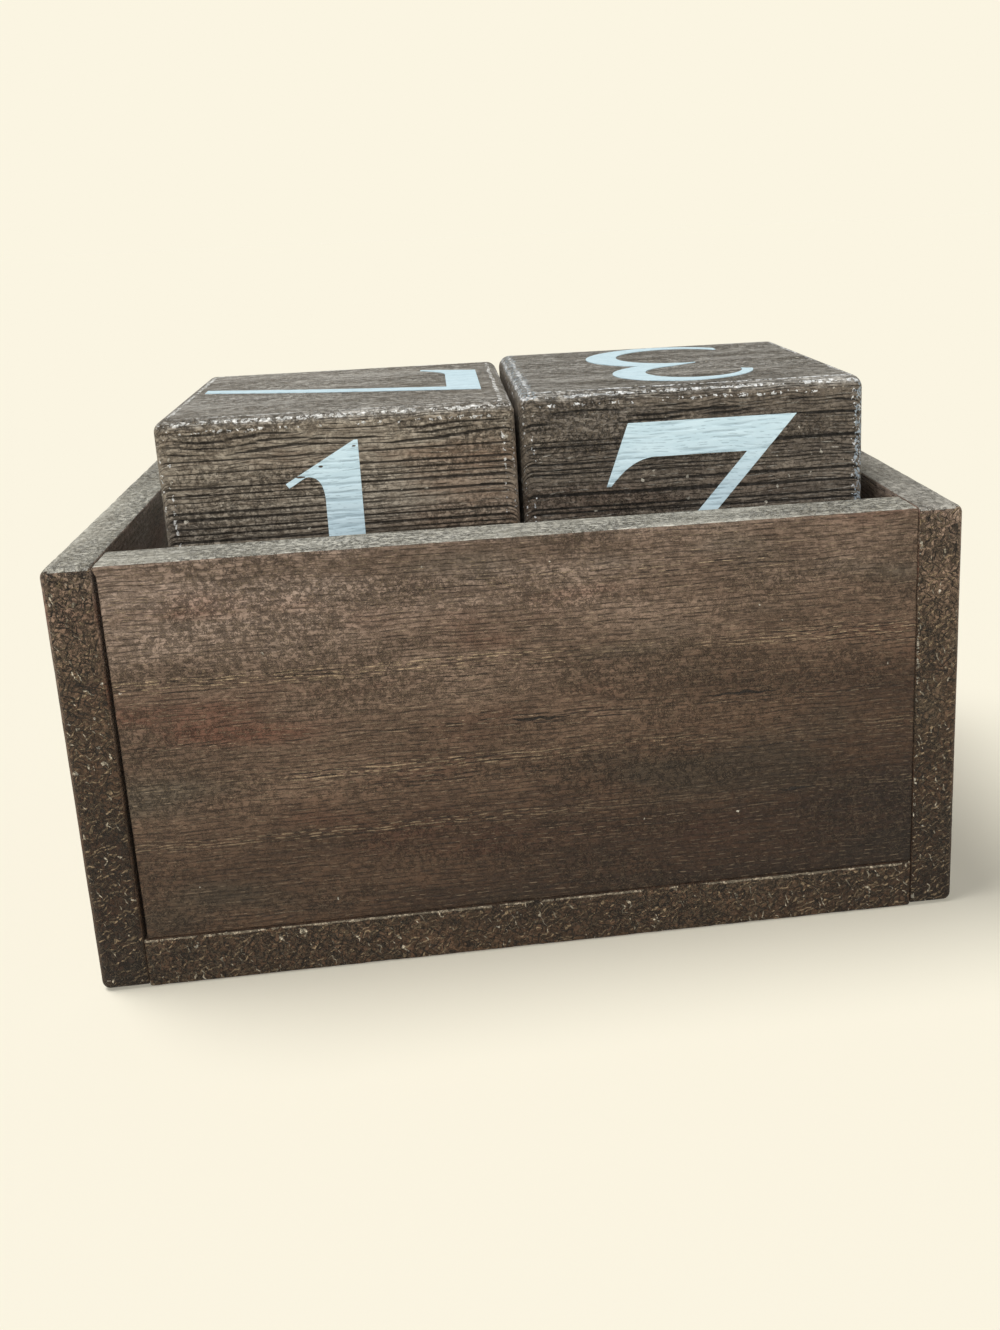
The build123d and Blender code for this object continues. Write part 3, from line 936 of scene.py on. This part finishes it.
def runs_along(edge, axis):
    """Whether an edge is straight along an axis."""
    step = edge.verts[1].co - edge.verts[0].co
    return all(abs(step[other]) < SAME_PLACE for other in (X, Y, Z) if other != axis)


def subdivide_block(bm, low, high, rounding, pitches):
    """Cut a rounded block into rows and columns of about the given pitches."""
    for axis in (Z, Y, X):
        length = high[axis] - low[axis] - 2 * rounding * MM
        long_edges = [edge for edge in bm.edges
                      if edge.calc_length() > 0.9 * length and runs_along(edge, axis)]
        cuts = round(length / (pitches[axis] * MM)) - 1
        bmesh.ops.subdivide_edges(bm, edges=long_edges, cuts=cuts, use_grid_fill=True)
    bm.normal_update()


def move_by(bm, steps):
    """Move each point by its own step, once all steps are known."""
    for vert, step in zip(bm.verts, steps):
        vert.co += step


def carve(bm, grain, top_share):
    """Sink every furrow into a cube or bar, less near the top, and keep its depth for the finish."""
    kept = bm.verts.layers.float.new(FURROW_LAYER)
    top = max(vert.co.z for vert in bm.verts)
    steps = []
    for vert in bm.verts:
        nearness = clamped(1.4 - (top - vert.co.z) / (3 * MM))
        share = grain.furrow(vert.co / MM) * (1 - abs(vert.normal.x)) * (1 - (1 - top_share) * nearness)
        vert[kept] = share
        steps.append(vert.normal * (-share * grain.depth * MM))
    move_by(bm, steps)


def lumps(place, size, shift):
    """A smooth noise from -1 to 1 over lumps of a size in millimetres."""
    return noise.noise(Vector((place.x / size, place.y / size, place.z / size + shift)))


def wear_down(bm, amount, seed):
    """Make faces a little uneven, and sink the roundings by up to an amount in millimetres."""
    steps = []
    for vert in bm.verts:
        place = vert.co / MM
        slant = min((1 - max(abs(part) for part in vert.normal)) / FULL_SLANT, 1)
        even = 0.5 + 0.5 * lumps(place, size=5, shift=seed)
        nick = max(lumps(place, size=1.7, shift=-seed), 0)
        steps.append(vert.normal * (-(0.04 * even + slant * amount * (0.25 * even + nick)) * MM))
    move_by(bm, steps)


def close_gap_at_top(bm, low, high, gap):
    """Lead the left end of a board back to its neighbour in its topmost millimetre and a half."""
    left_open = 0.05
    for vert in bm.verts:
        nearness = max(1 - (vert.co.x - low.x) / (2 * MM), 0)
        topmost = clamped((vert.co.z - high.z) / (1.1 * MM) + 1.4)
        vert.co.x -= (gap - left_open) * MM * nearness * topmost


def close_ends(bm):
    """Fill the open ends flat, with a sharp rim so that the shading stays flat too."""
    rim = [edge for edge in bm.edges if edge.is_boundary]
    for edge in rim:
        edge.smooth = False
    for face in bmesh.ops.holes_fill(bm, edges=rim, sides=0)["faces"]:
        face.smooth = False
        face.material_index = 1


# The box

def edges_at(bm, side):
    """The edges that lie in a plane across X."""
    return [edge for edge in bm.edges if all(abs(vert.co.x - side) < SAME_PLACE for vert in edge.verts)]


def round_end_board(bm, inner_side):
    """Round an end board well, but only a little where it meets the other boards."""
    inner_edges = edges_at(bm, inner_side)
    bevel(bm, [edge for edge in bm.edges if edge not in inner_edges], END_BOARD_ROUNDING, segments=5)
    bevel(bm, edges_at(bm, inner_side), JOINT_ROUNDING, segments=2)


def make_board(node, along, broad_axis, edges, seed, faces=PLAIN_FACES, rim=RIM, outer=0, gap=0.0,
               arris=None, marks=None):
    """A board of the box: stained faces, sawn edges and, where it shows, a pale rim.

    An end board is rounded more on its outer side, -1 for left and 1 for right. A board with a
    gap is that much shorter at its left end."""
    title = node.replace("_", " ")
    materials = [finish_wood(title + " face", node, along, FACE, seed, shading=faces, marks=marks),
                 finish_wood(title + " edge", node, along, SAWN, seed + 1, shading=edges, arris=arris),
                 finish_wood(title + " rim", node, along, rim, seed + 2)]
    low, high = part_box(node)
    low = low + Vector((gap * MM, 0, 0))
    bm = plain_block(low, high)
    rounding = END_BOARD_ROUNDING if outer else BOARD_ROUNDING
    if outer:
        round_end_board(bm, low.x if outer > 0 else high.x)
    else:
        bevel(bm, bm.edges[:], rounding, segments=3)
    subdivide_block(bm, low, high, rounding, BOARD_PITCHES)
    for face in bm.faces:
        face.smooth = True
        if abs(face.normal[broad_axis]) < FACING:
            face.material_index = 2 if face.normal.z > FACING else 1
    if gap:
        close_gap_at_top(bm, low, high, gap)
    wear_down(bm, BOARD_WEAR, seed)
    add_piece(node + "_wood", bm, "box", node, materials)


# Cubes, bars and their painted figures

def finish_block(node, stain, seed, end_seed):
    """The finishes of a cube or bar: one for its sides and one for its sawn ends."""
    title = node.replace("_", " ")
    return [finish_wood(title + " wood", node, X, stain, seed),
            finish_wood(title + " end", node, X, stain, end_seed, end=True)]


def make_block(node, rounding, segments, pitches, grain, top_share, materials):
    """A cube or bar with its grain along X: furrowed sides and two plain sawn ends."""
    low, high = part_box(node)
    bm = plain_block(low, high)
    bevel(bm, bm.edges[:], rounding, segments)
    bm.normal_update()
    ends = [face for face in bm.faces if abs(face.normal.x) > SQUARE_ON]
    bmesh.ops.delete(bm, geom=ends, context="FACES_ONLY")
    subdivide_block(bm, low, high, rounding, pitches)
    for face in bm.faces:
        face.smooth = True
    carve(bm, grain, top_share)
    close_ends(bm)
    add_piece(node + "_wood", bm, node, node, materials)


def cut_into_strips(bm, low, high, pitches, thin):
    """Cut a coat of paint into strips both ways, but not through its thin side."""
    for axis in (X, Y, Z):
        if axis == thin:
            continue
        step = pitches[axis] * MM
        count = int((high[axis] - low[axis]) / step)
        facing = [1.0 if other == axis else 0.0 for other in (X, Y, Z)]
        for index in range(1, count):
            spot = [0.0, 0.0, 0.0]
            spot[axis] = low[axis] + index * step
            bmesh.ops.bisect_plane(bm, geom=bm.verts[:] + bm.edges[:] + bm.faces[:], dist=SAME_PLACE,
                                   plane_co=spot, plane_no=facing)


def paint_figure(node, body, grain, top_share, material, pitches):
    """A coat of paint that sinks a little wherever the wood under it is furrowed."""
    low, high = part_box(node)
    wood_low, wood_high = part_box(body)
    bm = bmesh.new()
    bm.from_mesh(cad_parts[node].data)
    bmesh.ops.remove_doubles(bm, verts=bm.verts, dist=1e-6)
    bmesh.ops.recalc_face_normals(bm, faces=bm.faces)
    thin = min((X, Y, Z), key=lambda axis: high[axis] - low[axis])
    cut_into_strips(bm, low, high, pitches, thin)
    kept = bm.verts.layers.float.new(FURROW_LAYER)
    outward = 1 if low[thin] + high[thin] > wood_low[thin] + wood_high[thin] else -1
    outside = high[thin] if outward > 0 else low[thin]
    wood_face = wood_high[thin] if outward > 0 else wood_low[thin]
    # a sawn end has no furrows, and the top has shallow ones
    depth_share = 0 if thin == X else top_share if thin == Z and outward > 0 else 1
    for vert in bm.verts:
        place = vert.co / MM
        place[thin] = wood_face / MM
        share = grain.furrow(place) * depth_share
        vert[kept] = share
        if abs(vert.co[thin] - outside) < PAINT_SKIN * MM:
            vert.co[thin] -= outward * share * PAINT_SINKS * MM
    for face in bm.faces:
        face.smooth = False
    add_piece(node + "_paint", bm, body, node, [material])


def make_cube(cube, grain, stain, rounding, figures, seed, nicked=""):
    """A date cube and its six figures, one of which may have nicks in its paint."""
    woods = finish_block(cube, stain, seed, end_seed=seed)
    make_block(cube, rounding, 14, CUBE_PITCHES, grain, CUBE_TOP_SHARE, woods)
    for figure in figures:
        paint = NICKED_PAINT if figure == nicked else FIGURE_PAINT
        paint_figure(f"{cube}_figure_{figure}", cube, grain, CUBE_TOP_SHARE, paint, CUBE_FIGURE_PITCHES)


def make_bar(bar, place):
    """A month bar and its four month numbers; the places of the bars count from the display side."""
    woods = finish_block(bar, LEFT_CUBE, seed=41.0 + place, end_seed=44.0 + place)
    make_block(bar, BAR_ROUNDING, 6, BAR_PITCHES, BAR_GRAIN, BAR_TOP_SHARE, woods)
    for month in range(4 * place + 1, 4 * place + 5):
        paint_figure(f"month_figure_{month}", bar, BAR_GRAIN, BAR_TOP_SHARE, FIGURE_PAINT,
                     BAR_FIGURE_PITCHES)


place_camera()
place_lamps()
paint_sky()
lay_floor()

make_board("back_panel", X, Y, END_BOARD_EDGES, seed=3.0, faces=PANEL_FACES, gap=0.55, marks=PANEL_MARKS)
make_board("bottom_board", X, Z, BOTTOM_BOARD_EDGES, seed=7.0, arris=BOTTOM_ARRIS)
make_board("left_end_board", Y, X, END_BOARD_EDGES, seed=11.0, outer=-1)
make_board("right_end_board", Y, X, END_BOARD_EDGES, seed=15.0, rim=SHADED_RIGHT_RIM, outer=1, arris=JOINT_ARRIS)

make_cube("left_cube", LEFT_CUBE_GRAIN, LEFT_CUBE, rounding=1.7, figures="174025", seed=19.0, nicked="1")
make_cube("right_cube", RIGHT_CUBE_GRAIN, RIGHT_CUBE, rounding=2.0, figures="732160", seed=23.0)

for place, bar in enumerate(("display_bar", "middle_bar", "rear_bar")):
    make_bar(bar, place)

bpy.context.scene.view_settings.view_transform = "Standard"
